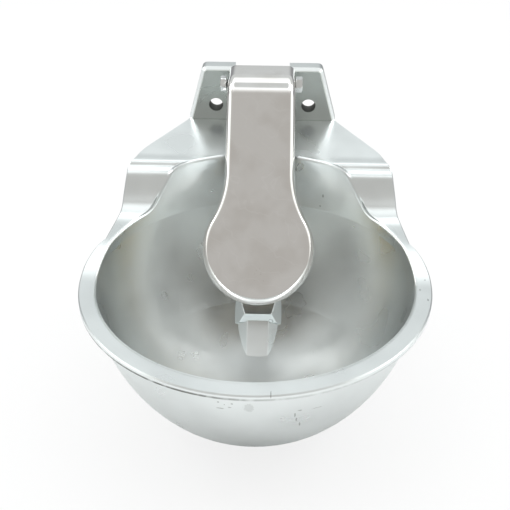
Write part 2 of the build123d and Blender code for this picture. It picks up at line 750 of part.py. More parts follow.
# Strainer: a slotted thimble whose brim sits in the mouth of the shank
thimble = turned(
    (0, STRAINER_FRONT),
    (STRAINER_R, STRAINER_FRONT),
    (STRAINER_R, BODY_END - STRAINER_T),
    (CHAMBER_R - NECK_PLAY, BODY_END - STRAINER_T),
    (CHAMBER_R - NECK_PLAY, BODY_END),
    (STRAINER_R - STRAINER_T, BODY_END),
    (STRAINER_R - STRAINER_T, STRAINER_FRONT + STRAINER_T),
    (0, STRAINER_FRONT + STRAINER_T),
)
slot_middle = VALVE.offset((STRAINER_FRONT + BODY_END) / 2)
with BuildPart() as inlet_strainer:
    add(thimble)
    with Locations(slot_middle):
        with PolarLocations(STRAINER_R, STRAINER_SLOTS):
            Box(3 * STRAINER_T, STRAINER_SLOT[0], STRAINER_SLOT[1], mode=Mode.SUBTRACT)
inlet_strainer.part.label = "inlet_strainer"

os.makedirs("parts", exist_ok=True)
for piece in (
    bowl_casting.part,
    paddle.part,
    hinge_bolt.part,
    hinge_nut.part,
    valve_body.part,
    seat_nozzle,
    front_gasket,
    back_washer,
    lock_nut.part,
    outlet_cap.part,
    cap_gasket,
    valve_stem.part,
    seat_washer,
    washer_cup,
    stem_nut.part,
    valve_spring.part,
    spring_retainer.part,
    retaining_clip.part,
    inlet_strainer.part,
):
    export_step(piece, f"parts/{piece.label}.step")
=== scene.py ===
"""Finishes, threads and studio for a wall-mounted livestock drinking bowl.

Metres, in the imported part's own frame: the origin lies on the wall face, midway
between the two wall holes, +Y into the wall, +Z up, and the bowl reaches along -Y.
"""

import json
from math import cos, radians, sin, sqrt

import bpy
from mathutils import Matrix, Vector


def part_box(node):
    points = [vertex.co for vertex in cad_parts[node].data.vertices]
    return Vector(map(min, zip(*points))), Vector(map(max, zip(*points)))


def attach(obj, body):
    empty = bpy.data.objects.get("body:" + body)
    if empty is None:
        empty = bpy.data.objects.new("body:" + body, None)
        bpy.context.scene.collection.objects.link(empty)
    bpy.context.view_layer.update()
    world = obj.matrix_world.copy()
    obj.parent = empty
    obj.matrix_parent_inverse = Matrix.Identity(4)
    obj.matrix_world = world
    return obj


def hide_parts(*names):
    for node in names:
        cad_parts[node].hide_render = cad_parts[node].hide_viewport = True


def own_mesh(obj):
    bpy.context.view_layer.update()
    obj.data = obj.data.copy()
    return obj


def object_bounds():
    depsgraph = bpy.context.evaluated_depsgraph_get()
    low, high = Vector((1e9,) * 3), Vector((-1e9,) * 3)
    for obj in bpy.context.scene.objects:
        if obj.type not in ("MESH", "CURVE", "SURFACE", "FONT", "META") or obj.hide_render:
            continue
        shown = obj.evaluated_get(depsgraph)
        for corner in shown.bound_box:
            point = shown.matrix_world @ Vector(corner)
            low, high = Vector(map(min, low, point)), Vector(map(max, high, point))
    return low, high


bl_info = {
    "name": "Livestock Drinking Bowl",
    "version": (1, 0, 0),
    "blender": (4, 5, 0),
    "location": "View3D > Sidebar > Bowl",
    "description": "Finishes and small pieces of a cast drinking bowl with a tongue valve",
    "category": "Object",
}

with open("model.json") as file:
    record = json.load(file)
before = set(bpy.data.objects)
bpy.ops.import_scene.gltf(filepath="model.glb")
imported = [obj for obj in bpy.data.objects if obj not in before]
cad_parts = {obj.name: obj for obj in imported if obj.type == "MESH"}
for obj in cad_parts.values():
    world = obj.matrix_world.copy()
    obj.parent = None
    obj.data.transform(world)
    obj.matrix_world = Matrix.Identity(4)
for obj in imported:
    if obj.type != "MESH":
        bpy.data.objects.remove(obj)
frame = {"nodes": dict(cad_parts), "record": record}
CAD_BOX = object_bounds()
NODES = frame["nodes"]
RECORD = frame["record"]
MM = 0.001


def named(things, name):
    """The joint or mount of the record that has this name."""
    return next(thing for thing in things if thing["name"] == name)


# Places from the part's own joints and mounts
JOINTS = RECORD["behaviour"]["joints"]
HINGE = Vector(named(JOINTS, "paddle_hinge")["pos_m"])
INLET = named(RECORD["mounts"], "water_inlet")
WALL_HOLES = named(RECORD["mounts"], "wall_bolts")["dims"]
HOLE_X = WALL_HOLES["spacing_x_mm"] * MM / 2
HOLE_R = WALL_HOLES["hole_r_mm"] * MM

# Places on the casting that the record doesn't hold
RIM_Z = -58.0 * MM
BOWL_Y = -160.0 * MM
PLATE_FACE_Y = -11.0 * MM
PLATE_FACE_FOOT_Z = -12.0 * MM
FLANGE_FOOT = (0.0, -87.0 * MM, -47.5 * MM)
FLANGE_TOP = (0.0, -73.5 * MM, -19.0 * MM)

# Threads: radius where the record doesn't give it, pitch, turns, and the start
PIPE_PITCH = 1.814 * MM
PIPE_TURNS = 9
PIPE_START = 0.4 * MM  # after the inlet's end
SHANK_R = 12.0 * MM
SHANK_PITCH = 1.5 * MM
SHANK_TURNS = 6
SHANK_START = -17.2 * MM
BOLT_R = 3.0 * MM
BOLT_PITCH = 1.0 * MM
BOLT_TURNS = 16
BOLT_START = -15.5 * MM

# Where the room changes, as parts of the direction looked in: start and full
BACK_BEGINS = (-0.3, 0.5)
CEILING_BEGINS = (0.66, 0.92)
CEILING_FRONT = (-0.62, -0.15)
OVERHEAD_BEGINS = (0.955, 0.99)
CURTAINS_BEGIN = (0.62, 0.90)
REAR_BELOW = (0.45, 0.20)
REAR_BEHIND = (0.02, 0.25)

# Where the floor is painted dimmer for reflections only, in metres along Y: start and full
FLOOR_DIM_IN_REFLECTIONS_FRONT = (-0.45, -0.75)
FLOOR_DIM_IN_REFLECTIONS_BEHIND = (0.02, 0.25)
REFLECTED_FLOOR_DIMMING = 0.4  # of the floor's colour


# ---- Small helpers ------------------------------------------------------------
def deselect():
    """Nothing is selected or active afterwards."""
    for thing in bpy.context.selected_objects:
        thing.select_set(False)
    bpy.context.view_layer.objects.active = None


def fill_inputs(tree, node, inputs):
    """Inputs are values or sockets, by socket name with _ for spaces."""
    for name, value in inputs.items():
        socket = node.inputs[name.replace("_", " ")]
        if isinstance(value, bpy.types.NodeSocket):
            tree.links.new(value, socket)
        else:
            socket.default_value = value


def add_node(tree, kind, settings=None, **inputs):
    """One shader node."""
    node = tree.nodes.new(kind)
    for name, value in (settings or {}).items():
        setattr(node, name, value)
    fill_inputs(tree, node, inputs)
    return node


def math_node(tree, operation, first, second=None, clamp=False):
    """Result of one Math node on values or sockets."""
    node = tree.nodes.new("ShaderNodeMath")
    node.operation = operation
    node.use_clamp = clamp
    for socket, value in zip(node.inputs, (first, second)):
        if isinstance(value, bpy.types.NodeSocket):
            tree.links.new(value, socket)
        elif value is not None:
            socket.default_value = value
    return node.outputs[0]


def band(tree, value, low, high, to_low=0.0, to_high=1.0):
    """Smooth step of value from low to high."""
    node = tree.nodes.new("ShaderNodeMapRange")
    node.interpolation_type = "SMOOTHSTEP"
    tree.links.new(value, node.inputs["Value"])
    for name, number in (
        ("From Min", low),
        ("From Max", high),
        ("To Min", to_low),
        ("To Max", to_high),
    ):
        node.inputs[name].default_value = number
    return node.outputs["Result"]


def tint(tree, factor, first, second, blend="MIX"):
    """Mix of two colours, each a colour or a socket."""
    node = tree.nodes.new("ShaderNodeMix")
    node.data_type = "RGBA"
    node.blend_type = blend
    for name, value in (("Factor", factor), ("A", first), ("B", second)):
        socket = next(s for s in node.inputs if s.name == name and s.enabled)
        if isinstance(value, bpy.types.NodeSocket):
            tree.links.new(value, socket)
        elif name == "Factor":
            socket.default_value = value
        else:
            socket.default_value = (*value, 1.0) if len(value) == 3 else value
    return next(s for s in node.outputs if s.enabled)


def start_group(name, inputs, outputs):
    """Empty shader node group with named sockets; returns it with its two end nodes."""
    group = bpy.data.node_groups.new(name, "ShaderNodeTree")
    for label, kind, value in inputs:
        socket = group.interface.new_socket(label, in_out="INPUT", socket_type=kind)
        if value is not None:
            socket.default_value = value
    for label, kind in outputs:
        group.interface.new_socket(label, in_out="OUTPUT", socket_type=kind)
    return group, group.nodes.new("NodeGroupInput"), group.nodes.new("NodeGroupOutput")


def start_material(name):
    """New material with its Principled shader; returns the material, tree and shader."""
    made = bpy.data.materials.new(name)
    made.use_nodes = True
    tree = made.node_tree
    return made, tree, tree.nodes["Principled BSDF"]


def place_group(tree, group, **inputs):
    """Group node in a material."""
    node = tree.nodes.new("ShaderNodeGroup")
    node.node_tree = group
    fill_inputs(tree, node, inputs)
    return node


def dress(node_name, made):
    """The CAD node's only material becomes this one, and its copy's too."""
    copies = (f"{node_name}_threaded", f"{node_name}_moving")
    pieces = [NODES[node_name], *(bpy.data.objects.get(name) for name in copies)]
    for piece in pieces:
        if piece:
            piece.data.materials.clear()
            piece.data.materials.append(made)


# ---- Shared effects -------------------------------------------------------------
def grain_group():
    """Fine cast or plated grain, with soft patches and pits."""
    group, given, out = start_group(
        "surface grain",
        [
            ("Position", "NodeSocketVector", None),
            ("Grain Scale", "NodeSocketFloat", 900.0),
            ("Patch Scale", "NodeSocketFloat", 30.0),
            ("Pit Scale", "NodeSocketFloat", 260.0),
            ("Pit Size", "NodeSocketFloat", 0.1),
        ],
        [("Grain", "NodeSocketFloat"), ("Patches", "NodeSocketFloat"), ("Pits", "NodeSocketFloat")],
    )
    where = given.outputs["Position"]
    fine = add_node(
        group, "ShaderNodeTexNoise", Vector=where, Scale=given.outputs["Grain Scale"],
        Detail=3.0, Roughness=0.6,
    )
    broad = add_node(
        group, "ShaderNodeTexNoise", Vector=where, Scale=given.outputs["Patch Scale"],
        Detail=2.0, Roughness=0.5,
    )
    cells = add_node(
        group, "ShaderNodeTexVoronoi", Vector=where, Scale=given.outputs["Pit Scale"],
        Randomness=1.0,
    )
    rare = add_node(
        group, "ShaderNodeTexNoise", Vector=where, Scale=given.outputs["Patch Scale"],
        Detail=1.0,
    )
    pit = math_node(group, "LESS_THAN", cells.outputs["Distance"], given.outputs["Pit Size"])
    shown = band(group, rare.outputs["Fac"], 0.66, 0.74)
    group.links.new(fine.outputs["Fac"], out.inputs["Grain"])
    group.links.new(broad.outputs["Fac"], out.inputs["Patches"])
    group.links.new(math_node(group, "MULTIPLY", pit, shown), out.inputs["Pits"])
    return group


def scratch_group():
    """Long fine lines along one direction, and a few stray ones across."""
    group, given, out = start_group(
        "fine scratches",
        [
            ("Position", "NodeSocketVector", None),
            ("Stretch", "NodeSocketVector", (1.0, 1.0, 0.05)),
            ("Scale", "NodeSocketFloat", 900.0),
        ],
        [("Lines", "NodeSocketFloat"), ("Strays", "NodeSocketFloat")],
    )
    stretched = add_node(group, "ShaderNodeVectorMath", {"operation": "MULTIPLY"})
    group.links.new(given.outputs["Position"], stretched.inputs[0])
    group.links.new(given.outputs["Stretch"], stretched.inputs[1])
    lines = add_node(
        group, "ShaderNodeTexNoise", Vector=stretched.outputs[0],
        Scale=given.outputs["Scale"], Detail=3.0, Roughness=0.65,
    )
    strays = add_node(
        group, "ShaderNodeTexWave", {"wave_type": "BANDS", "bands_direction": "DIAGONAL"},
        Vector=given.outputs["Position"], Scale=22.0, Distortion=14.0, Detail=3.0,
        Detail_Scale=1.4,
    )
    thin = band(group, strays.outputs["Fac"], 0.985, 1.0)
    group.links.new(lines.outputs["Fac"], out.inputs["Lines"])
    group.links.new(thin, out.inputs["Strays"])
    return group


def mark_group():
    """Small rough-edged spot: how much a point lies in it."""
    group, given, out = start_group(
        "small mark",
        [
            ("Position", "NodeSocketVector", None),
            ("Centre", "NodeSocketVector", (0.0, 0.0, 0.0)),
            ("Half Size", "NodeSocketVector", (0.001, 0.001, 0.001)),
            ("Hollow", "NodeSocketFloat", 0.0),
        ],
        [("Mask", "NodeSocketFloat")],
    )
    offset = add_node(group, "ShaderNodeVectorMath", {"operation": "SUBTRACT"})
    group.links.new(given.outputs["Position"], offset.inputs[0])
    group.links.new(given.outputs["Centre"], offset.inputs[1])
    scaled = add_node(group, "ShaderNodeVectorMath", {"operation": "DIVIDE"})
    group.links.new(offset.outputs[0], scaled.inputs[0])
    group.links.new(given.outputs["Half Size"], scaled.inputs[1])
    length = add_node(group, "ShaderNodeVectorMath", {"operation": "LENGTH"})
    group.links.new(scaled.outputs[0], length.inputs[0])
    ragged = add_node(
        group, "ShaderNodeTexNoise", Vector=given.outputs["Position"], Scale=700.0, Detail=2.0
    )
    worn = math_node(
        group, "MULTIPLY", math_node(group, "SUBTRACT", ragged.outputs["Fac"], 0.5), 1.1
    )
    reach = math_node(group, "ADD", length.outputs["Value"], worn)
    inside = band(group, reach, 1.05, 0.75)
    middle = math_node(
        group, "MULTIPLY", band(group, reach, 0.7, 0.45), given.outputs["Hollow"]
    )
    mask = math_node(group, "SUBTRACT", inside, middle, clamp=True)
    group.links.new(mask, out.inputs["Mask"])
    return group


def fold_group():
    """Height that softens the flange's two folds: filled at the foot, eased at the top."""
    group, given, out = start_group(
        "soft folds",
        [
            ("Position", "NodeSocketVector", None),
            ("Foot", "NodeSocketVector", (0.0, 0.0, 0.0)),
            ("Top", "NodeSocketVector", (0.0, 0.0, 0.0)),
            ("Foot Width", "NodeSocketFloat", 0.01),
            ("Top Width", "NodeSocketFloat", 0.01),
            ("Height", "NodeSocketFloat", 0.004),
        ],
        [("Height", "NodeSocketFloat")],
    )
    flat = add_node(group, "ShaderNodeVectorMath", {"operation": "MULTIPLY"})
    group.links.new(given.outputs["Position"], flat.inputs[0])
    flat.inputs[1].default_value = (0.0, 1.0, 1.0)
    swells = []
    for line in ("Foot", "Top"):
        away = add_node(group, "ShaderNodeVectorMath", {"operation": "DISTANCE"})
        group.links.new(flat.outputs[0], away.inputs[0])
        group.links.new(given.outputs[line], away.inputs[1])
        ratio = math_node(group, "DIVIDE", away.outputs["Value"], given.outputs[line + " Width"])
        square = math_node(group, "MULTIPLY", ratio, ratio)
        swells.append(math_node(group, "EXPONENT", math_node(group, "MULTIPLY", square, -1.0)))
    swell = math_node(group, "SUBTRACT", swells[0], swells[1])
    group.links.new(
        math_node(group, "MULTIPLY", swell, given.outputs["Height"]), out.inputs["Height"]
    )
    return group


# ---- Sizes and colours -------------------------------------------------------------
class BowlFinish(bpy.types.PropertyGroup):
    """Colours of the bowl's finishes."""

    aluminium: bpy.props.FloatVectorProperty(
        name="Cast aluminium", description="Colour of the casting", subtype="COLOR",
        size=3, min=0.0, max=1.0, default=(0.785, 0.815, 0.815),
    )
    steel: bpy.props.FloatVectorProperty(
        name="Polished steel", description="Colour of the tongue", subtype="COLOR",
        size=3, min=0.0, max=1.0, default=(0.80, 0.785, 0.77),
    )
    zinc: bpy.props.FloatVectorProperty(
        name="Zinc plate", description="Colour of the hinge bolt and nut", subtype="COLOR",
        size=3, min=0.0, max=1.0, default=(0.80, 0.81, 0.81),
    )
    brass: bpy.props.FloatVectorProperty(
        name="Brass", description="Colour of the valve's turned pieces", subtype="COLOR",
        size=3, min=0.0, max=1.0, default=(0.80, 0.62, 0.30),
    )
    rubber: bpy.props.FloatVectorProperty(
        name="Rubber", description="Colour of the gaskets", subtype="COLOR",
        size=3, min=0.0, max=1.0, default=(0.030, 0.030, 0.032),
    )
    # Dirt and painted shade: darkens the rim's lower edge, partly as dirt and partly as painted
    # shade, and the walls of the wall holes as painted shade
    dirt_and_shade: bpy.props.FloatVectorProperty(
        name="Grime", description="Colour of the dirt in the casting's corners",
        subtype="COLOR", size=3, min=0.0, max=1.0, default=(0.09, 0.09, 0.08),
    )
    # Painted shade: the colour that darkens the plate's front face
    plate_face_shade: bpy.props.FloatVectorProperty(
        name="Raw casting", description="Colour of the plate's unpolished face",
        subtype="COLOR", size=3, min=0.0, max=1.0, default=(0.22, 0.24, 0.20),
    )
    pit: bpy.props.FloatVectorProperty(
        name="Pit", description="Colour at the bottom of a pit", subtype="COLOR",
        size=3, min=0.0, max=1.0, default=(0.22, 0.23, 0.22),
    )
    cast_roughness: bpy.props.FloatProperty(
        name="Cast roughness", description="Roughness of the casting", subtype="FACTOR",
        min=0.0, max=1.0, default=0.30,
    )


class BowlStudio(bpy.types.PropertyGroup):
    """Floor, lights and camera."""

    lens: bpy.props.FloatProperty(
        name="Lens", description="Focal length on a 36 mm sensor", unit="CAMERA",
        default=74.92,
    )
    camera_place: bpy.props.FloatVectorProperty(
        name="Camera", description="Place of the camera", subtype="TRANSLATION", unit="LENGTH",
        size=3, default=(0.01879, -0.73977, 0.33418),
    )
    camera_back: bpy.props.FloatVectorProperty(
        name="Camera back", description="Direction from the bowl towards the camera",
        subtype="DIRECTION", size=3, default=(0.027626, -0.841376, 0.53975),
    )
    camera_roll: bpy.props.FloatProperty(
        name="Camera roll", description="Turn about the line of sight", unit="ROTATION",
        default=radians(0.123266),
    )
    floor: bpy.props.FloatVectorProperty(
        name="Floor", description="Colour of the floor", subtype="COLOR", size=3,
        min=0.0, max=1.0, default=(0.72, 0.72, 0.72),
    )
    floor_size: bpy.props.FloatProperty(
        name="Floor size", description="Width of the floor", unit="LENGTH", default=12.0,
    )
    floor_glow: bpy.props.FloatProperty(
        name="Floor glow", description="Share of the floor's light that is its own",
        subtype="FACTOR", min=0.0, max=1.0, default=0.8,
    )
    top_watts: bpy.props.FloatProperty(
        name="Top light", description="Power of the light above", unit="POWER", default=6.0,
    )
    side_watts: bpy.props.FloatProperty(
        name="Side lights", description="Power of each light at the side", unit="POWER",
        default=5.0,
    )
    room: bpy.props.FloatVectorProperty(
        name="Room", description="Colour of the room in front", subtype="COLOR", size=3,
        min=0.0, max=1.0, default=(0.58, 0.57, 0.55),
    )
    ceiling: bpy.props.FloatVectorProperty(
        name="Ceiling", description="Colour of the room above", subtype="COLOR", size=3,
        min=0.0, max=3.0, default=(1.70, 1.75, 1.75),
    )
    backdrop: bpy.props.FloatVectorProperty(
        name="Backdrop", description="Colour of the room behind", subtype="COLOR", size=3,
        min=0.0, max=1.0, default=(0.74, 0.77, 0.77),
    )
    rear: bpy.props.FloatVectorProperty(
        name="Rear", description="Colour of the dim lower room behind", subtype="COLOR",
        size=3, min=0.0, max=1.0, default=(0.34, 0.35, 0.36),
    )
    curtains: bpy.props.FloatVectorProperty(
        name="Curtains", description="Colour of the lit curtains at both sides",
        subtype="COLOR", size=3, min=0.0, max=3.0, default=(1.55, 1.60, 1.56),
    )


# ---- Finishes -----------------------------------------------------------------------
# Marks on the casting, in millimetres: centre, half size, whether the middle is bare, and
# how dark it is
CAST_MARKS = (
    ((-18.3, -264.1, -73.8), (0.7, 1.5, 0.6), 0.0, 0.6),
    ((-14.6, -264.8, -75.4), (0.5, 1.5, 0.5), 0.0, 0.6),
    ((-10.1, -265.1, -74.1), (0.8, 1.5, 0.7), 0.0, 0.6),
    ((-17.0, -262.8, -79.4), (2.8, 2.0, 0.5), 0.0, 0.6),
    ((-11.5, -263.8, -77.6), (1.2, 2.0, 0.4), 0.0, 0.6),
    ((29.8, -258.7, -83.0), (1.6, 3.0, 0.5), 0.0, 0.6),
    ((27.0, -257.8, -87.0), (0.5, 3.0, 3.0), 0.0, 0.6),
    ((27.9, -256.0, -92.5), (0.5, 3.0, 2.6), 0.0, 0.6),
    ((30.0, -253.0, -99.0), (0.5, 3.0, 3.0), 0.0, 0.6),
    ((40.0, -254.0, -84.0), (4.0, 4.0, 0.3), 0.0, 0.6),
    ((-0.3, -265.0, -77.0), (3.4, 3.0, 4.2), 0.0, 0.22),
    ((12.7, -274.5, -58.2), (0.35, 3.5, 2.2), 0.0, 0.6),
    ((9.6, -98.2, -135.7), (1.9, 2.5, 1.9), 1.0, 0.6),
    ((46.0, -66.2, -45.8), (0.7, 1.5, 1.4), 0.0, 0.6),
    ((44.2, -65.3, -54.8), (0.6, 1.5, 0.6), 0.0, 0.6),
    ((107.3, -168.7, -56.6), (0.6, 0.9, 1.5), 0.0, 0.6),
    ((111.3, -179.7, -56.7), (0.6, 1.6, 1.5), 0.0, 0.6),
    ((111.5, -158.0, -55.9), (0.5, 0.8, 1.5), 0.0, 0.6),
    ((-38.0, -245.0, -104.0), (0.6, 3.0, 0.6), 0.0, 0.6),
    ((62.0, -240.0, -78.0), (0.7, 3.0, 0.6), 0.0, 0.6),
)


def rim_edge_dirt_and_shade_mask(tree, where, axes, outward):
    """Dirt and painted shade in the lower edge of the rim, thickest at the front left."""
    low_edge = math_node(
        tree, "MULTIPLY",
        band(tree, axes.outputs["Z"], RIM_Z - 1.6 * MM, RIM_Z - 2.8 * MM),
        band(tree, outward, 112.5 * MM, 114.0 * MM),
    )
    left = math_node(
        tree, "MULTIPLY", band(tree, axes.outputs["X"], 0.03, -0.05, 0.3, 1.0),
        band(tree, axes.outputs["Y"], -0.15, -0.19),
    )
    broken = add_node(tree, "ShaderNodeTexNoise", Vector=where, Scale=150.0, Detail=4.0)
    worn = band(tree, broken.outputs["Fac"], 0.25, 0.55, 0.25, 1.0)
    return math_node(tree, "MULTIPLY", low_edge, math_node(tree, "MULTIPLY", left, worn))


def hole_shade_mask(tree, axes):
    """Painted shade on the cast walls of the two wall holes."""
    flat = add_node(tree, "ShaderNodeCombineXYZ", X=axes.outputs["X"], Z=axes.outputs["Z"])
    walls = []
    for side in (-1, 1):
        bore = add_node(tree, "ShaderNodeVectorMath", {"operation": "DISTANCE"})
        tree.links.new(flat.outputs["Vector"], bore.inputs[0])
        bore.inputs[1].default_value = (side * HOLE_X, 0.0, 0.0)
        walls.append(band(tree, bore.outputs["Value"], HOLE_R + 0.4 * MM, HOLE_R + 0.1 * MM))
    inside_plate = band(tree, axes.outputs["Y"], PLATE_FACE_Y - 0.3 * MM, PLATE_FACE_Y + 0.4 * MM)
    return math_node(tree, "MULTIPLY", math_node(tree, "MAXIMUM", *walls), inside_plate)


def plate_face_shade_mask(tree, axes):
    """The plate's front face, painted darker than the rest as shade."""
    face = math_node(
        tree, "MULTIPLY",
        band(tree, axes.outputs["Y"], PLATE_FACE_Y - 0.8 * MM, PLATE_FACE_Y - 0.1 * MM),
        band(tree, axes.outputs["Y"], PLATE_FACE_Y + 1.0 * MM, PLATE_FACE_Y + 0.2 * MM),
    )
    above = band(tree, axes.outputs["Z"], PLATE_FACE_FOOT_Z - 1.5 * MM, PLATE_FACE_FOOT_Z)
    return math_node(tree, "MULTIPLY", face, above)


def marks_mask(tree, where, pits):
    """Every small mark on the casting, and its pits."""
    marks = math_node(tree, "MULTIPLY", pits, 0.3)
    for centre, half, hollow, strength in CAST_MARKS:
        mark = place_group(
            tree, bpy.data.node_groups["small mark"], Position=where,
            Centre=tuple(MM * part for part in centre),
            Half_Size=tuple(MM * part for part in half), Hollow=hollow,
        )
        shown = math_node(tree, "MULTIPLY", mark.outputs["Mask"], strength)
        marks = math_node(tree, "MAXIMUM", marks, shown)
    return marks


def cast_normal(tree, where, outward, grain, marks):
    """Normal with the flange's folds drawn soft outside the opening, then grain and marks."""
    folds = place_group(
        tree, bpy.data.node_groups["soft folds"], Position=where, Foot=FLANGE_FOOT,
        Top=FLANGE_TOP, Foot_Width=9.5 * MM, Top_Width=4.5 * MM, Height=3.2 * MM,
    )
    outside = band(tree, outward, 105.0 * MM, 106.5 * MM)
    softened = add_node(
        tree, "ShaderNodeBump", Strength=1.0, Distance=1.0,
        Height=math_node(tree, "MULTIPLY", folds.outputs["Height"], outside),
    )
    height = math_node(tree, "SUBTRACT", grain, math_node(tree, "MULTIPLY", marks, 1.6))
    bump = add_node(
        tree, "ShaderNodeBump", Strength=0.14, Distance=0.2 * MM, Height=height,
        Normal=softened.outputs["Normal"],
    )
    return bump.outputs["Normal"]


class BOWL_OT_casting_finish(bpy.types.Operator):
    """Satin cast skin with grain and pits, dirt and painted shade under the rim's edge, and painted
    shade in the wall holes and on the plate's front face
    """

    bl_idname = "bowl.casting_finish"
    bl_label = "Casting finish"

    def execute(self, context):
        look = context.scene.bowl_finish
        made, tree, shader = start_material("cast aluminium")
        where = add_node(tree, "ShaderNodeTexCoord").outputs["Object"]
        axes = add_node(tree, "ShaderNodeSeparateXYZ", Vector=where)
        level = add_node(
            tree, "ShaderNodeCombineXYZ", X=axes.outputs["X"], Y=axes.outputs["Y"]
        )
        from_axis = add_node(tree, "ShaderNodeVectorMath", {"operation": "DISTANCE"})
        tree.links.new(level.outputs["Vector"], from_axis.inputs[0])
        from_axis.inputs[1].default_value = (0.0, BOWL_Y, 0.0)
        outward = from_axis.outputs["Value"]
        grain = place_group(tree, bpy.data.node_groups["surface grain"], Position=where)
        patches = grain.outputs["Patches"]

        dirt_and_shade = rim_edge_dirt_and_shade_mask(tree, where, axes, outward)
        holes = hole_shade_mask(tree, axes)
        marks = marks_mask(tree, where, grain.outputs["Pits"])
        toned = tint(
            tree, band(tree, patches, 0.3, 0.7), tuple(0.97 * part for part in look.aluminium),
            tuple(1.02 * part for part in look.aluminium),
        )
        # Dirt and painted shade darken the rim's lower edge
        rim_dirt_and_shade = tint(tree, math_node(tree, "MULTIPLY", dirt_and_shade, 0.8), toned, look.dirt_and_shade)
        # Painted shade darkens the walls of the wall holes
        hole_shaded = tint(tree, math_node(tree, "MULTIPLY", holes, 0.92), rim_dirt_and_shade, look.dirt_and_shade)
        # Painted shade darkens the plate's front face
        plate_shaded = tint(
            tree, math_node(tree, "MULTIPLY", plate_face_shade_mask(tree, axes), 0.50), hole_shaded, look.plate_face_shade
        )
        tree.links.new(tint(tree, marks, plate_shaded, look.pit), shader.inputs["Base Color"])

        rough = band(
            tree, patches, 0.3, 0.7, look.cast_roughness - 0.03, look.cast_roughness + 0.03
        )
        rougher = math_node(
            tree, "ADD", rough,
            math_node(tree, "MULTIPLY", math_node(tree, "MAXIMUM", dirt_and_shade, holes), 0.35),
            clamp=True,
        )
        tree.links.new(rougher, shader.inputs["Roughness"])
        shader.inputs["Metallic"].default_value = 1.0
        normal = cast_normal(tree, where, outward, grain.outputs["Grain"], marks)
        tree.links.new(normal, shader.inputs["Normal"])
        dress("bowl_casting", made)
        return {"FINISHED"}


class BOWL_OT_tongue_finish(bpy.types.Operator):
    """Polished pressed steel with fine lines along the tongue"""

    bl_idname = "bowl.tongue_finish"
    bl_label = "Tongue finish"

    def execute(self, context):
        look = context.scene.bowl_finish
        made, tree, shader = start_material("polished steel")
        where = add_node(tree, "ShaderNodeTexCoord").outputs["Object"]
        grain = place_group(
            tree, bpy.data.node_groups["surface grain"], Position=where,
            Grain_Scale=500.0, Patch_Scale=42.0, Pit_Scale=420.0, Pit_Size=0.09,
        )
        lines = place_group(
            tree, bpy.data.node_groups["fine scratches"], Position=where,
            Stretch=(1.0, 0.04, 0.04), Scale=1500.0,
        )
        axes = add_node(tree, "ShaderNodeSeparateXYZ", Vector=where)
        brushed = band(tree, axes.outputs["Z"], -0.012, 0.024, 0.25, 1.0)
        stained = band(tree, grain.outputs["Patches"], 0.42, 0.68, 0.0, 0.35)
        toned = tint(tree, stained, look.steel, (0.62, 0.585, 0.55))
        flecked = tint(
            tree, math_node(tree, "MULTIPLY", grain.outputs["Pits"], 0.5), toned, (0.3, 0.28, 0.27)
        )
        scored = tint(
            tree, math_node(tree, "MULTIPLY", lines.outputs["Strays"], 0.10), flecked,
            (0.95, 0.95, 0.95),
        )
        tree.links.new(scored, shader.inputs["Base Color"])
        shader.inputs["Metallic"].default_value = 1.0
        rough = band(tree, lines.outputs["Lines"], 0.3, 0.7, 0.01, 0.03)
        spread = math_node(tree, "ADD", rough, math_node(tree, "MULTIPLY", brushed, 0.03))
        tree.links.new(spread, shader.inputs["Roughness"])
        height = math_node(
            tree, "ADD",
            math_node(tree, "MULTIPLY", lines.outputs["Lines"], brushed),
            math_node(tree, "MULTIPLY", lines.outputs["Strays"], -0.2),
        )
        bump = add_node(tree, "ShaderNodeBump", Strength=0.012, Distance=0.0001, Height=height)
        tree.links.new(bump.outputs["Normal"], shader.inputs["Normal"])
        dress("paddle", made)
        return {"FINISHED"}


class BOWL_OT_fastener_finish(bpy.types.Operator):
    """Bright zinc on the hinge bolt and its nut"""

    bl_idname = "bowl.fastener_finish"
    bl_label = "Fastener finish"

    def execute(self, context):
        look = context.scene.bowl_finish
        made, tree, shader = start_material("zinc plate")
        where = add_node(tree, "ShaderNodeTexCoord").outputs["Object"]
        grain = place_group(
            tree, bpy.data.node_groups["surface grain"], Position=where,
            Grain_Scale=1600.0, Patch_Scale=180.0, Pit_Scale=900.0, Pit_Size=0.12,
        )
        toned = tint(
            tree, band(tree, grain.outputs["Patches"], 0.4, 0.7, 0.0, 0.5), look.zinc,
            (0.66, 0.68, 0.66),
        )
        tree.links.new(toned, shader.inputs["Base Color"])
        tree.links.new(
            band(tree, grain.outputs["Patches"], 0.3, 0.7, 0.10, 0.22), shader.inputs["Roughness"]
        )
        shader.inputs["Metallic"].default_value = 1.0
        bump = add_node(
            tree, "ShaderNodeBump", Strength=0.15, Distance=0.0001, Height=grain.outputs["Grain"]
        )
        tree.links.new(bump.outputs["Normal"], shader.inputs["Normal"])
        for name in ("hinge_bolt", "hinge_nut"):
            dress(name, made)
        return {"FINISHED"}


